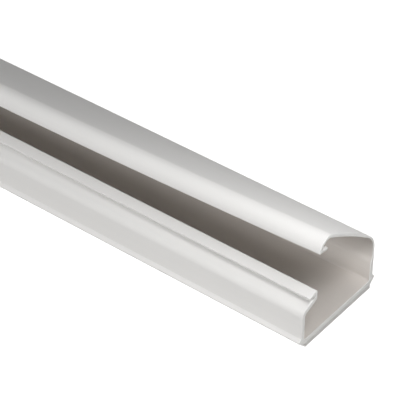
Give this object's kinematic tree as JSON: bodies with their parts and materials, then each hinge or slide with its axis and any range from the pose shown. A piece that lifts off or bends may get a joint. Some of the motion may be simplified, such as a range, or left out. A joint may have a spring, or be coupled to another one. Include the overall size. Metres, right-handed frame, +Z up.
{
  "type": "cable raceway",
  "caption": "Surface cable raceway in one piece: a shallow channel with a thin-hinged snap cover sprung open over a folded catch, foam tape beneath.",
  "frame": {"origin": "centre of the bounding box's bottom, on the underside of the foam tape, halfway along the raceway", "axes": "+X along the raceway to the cut end seen in the picture, +Y from the wall with the catch to the wall with the hinge, +Z up out of the base"},
  "size_m": [1, 0.0402, 0.0372],
  "materials": {
    "white_pvc": "satin",
    "foam": "matte"
  },
  "bodies": {
    "root": {"raceway": "white_pvc", "foam_tape": "foam"}
  },
  "joints": []
}
